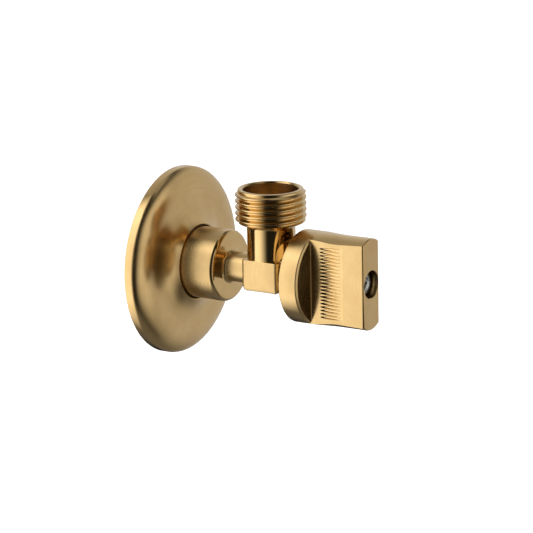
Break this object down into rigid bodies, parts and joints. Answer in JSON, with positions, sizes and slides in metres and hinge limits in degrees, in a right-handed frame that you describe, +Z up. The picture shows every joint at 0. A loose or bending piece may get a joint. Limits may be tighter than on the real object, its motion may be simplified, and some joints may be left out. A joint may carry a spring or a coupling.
{
  "type": "angle stop valve",
  "caption": "Quarter-turn angle stop valve: wall flange, threaded inlet and upright threaded outlet, and a flat-winged handle on a hollow disc.",
  "frame": {"origin": "centre of the inlet axis on the wall plane, which the flange's rim rests on", "axes": "-Y out of the wall along the inlet and the handle's axis, +Z up along the outlet, +X to the right of a user who faces the wall"},
  "size_m": [0.056, 0.0766, 0.056],
  "materials": {
    "satin_gold_brass": "satin and polished gold",
    "brushed_gold_flange": "brushed gold",
    "satin_gold_handle": "satin gold",
    "turned_brass": "turned",
    "plated_steel": "zinc plated",
    "black_rubber": "matte",
    "white_ptfe": "waxy",
    "grey_nylon": "matte"
  },
  "bodies": {
    "body": {"valve_body": "satin_gold_brass", "seat_spring": "plated_steel", "inlet_seat_ring": "white_ptfe", "plug_sleeve": "white_ptfe", "thrust_washer": "white_ptfe", "bonnet": "turned_brass", "bonnet_o_ring": "black_rubber", "slip_washer": "white_ptfe"},
    "grip_ring": {"flange_grip_ring": "black_rubber"},
    "flange": {"wall_flange": "brushed_gold_flange"},
    "handle": {"handle": "satin_gold_handle", "handle_insert": "grey_nylon", "handle_screw": "plated_steel", "screw_lock_washer": "plated_steel", "stem": "turned_brass", "stem_o_ring_inner": "black_rubber", "stem_o_ring_outer": "black_rubber", "port_plug": "turned_brass", "stop_washer": "plated_steel", "stem_circlip": "plated_steel"}
  },
  "joints": [
    {"name": "handle_turn", "type": "hinge", "parent": "body", "child": "handle", "pos_m": [0, -0.055, 0], "axis": [0, 1, 0], "range_deg": [0, 90]},
    {"name": "flange_slide", "type": "slide", "parent": "body", "child": "grip_ring", "axis": [0, -1, 0], "range_m": [0, 0.01]},
    {"name": "flange_turn", "type": "hinge", "parent": "grip_ring", "child": "flange", "pos_m": [0, -0.0053, 0], "axis": [0, 1, 0], "continuous": true}
  ]
}
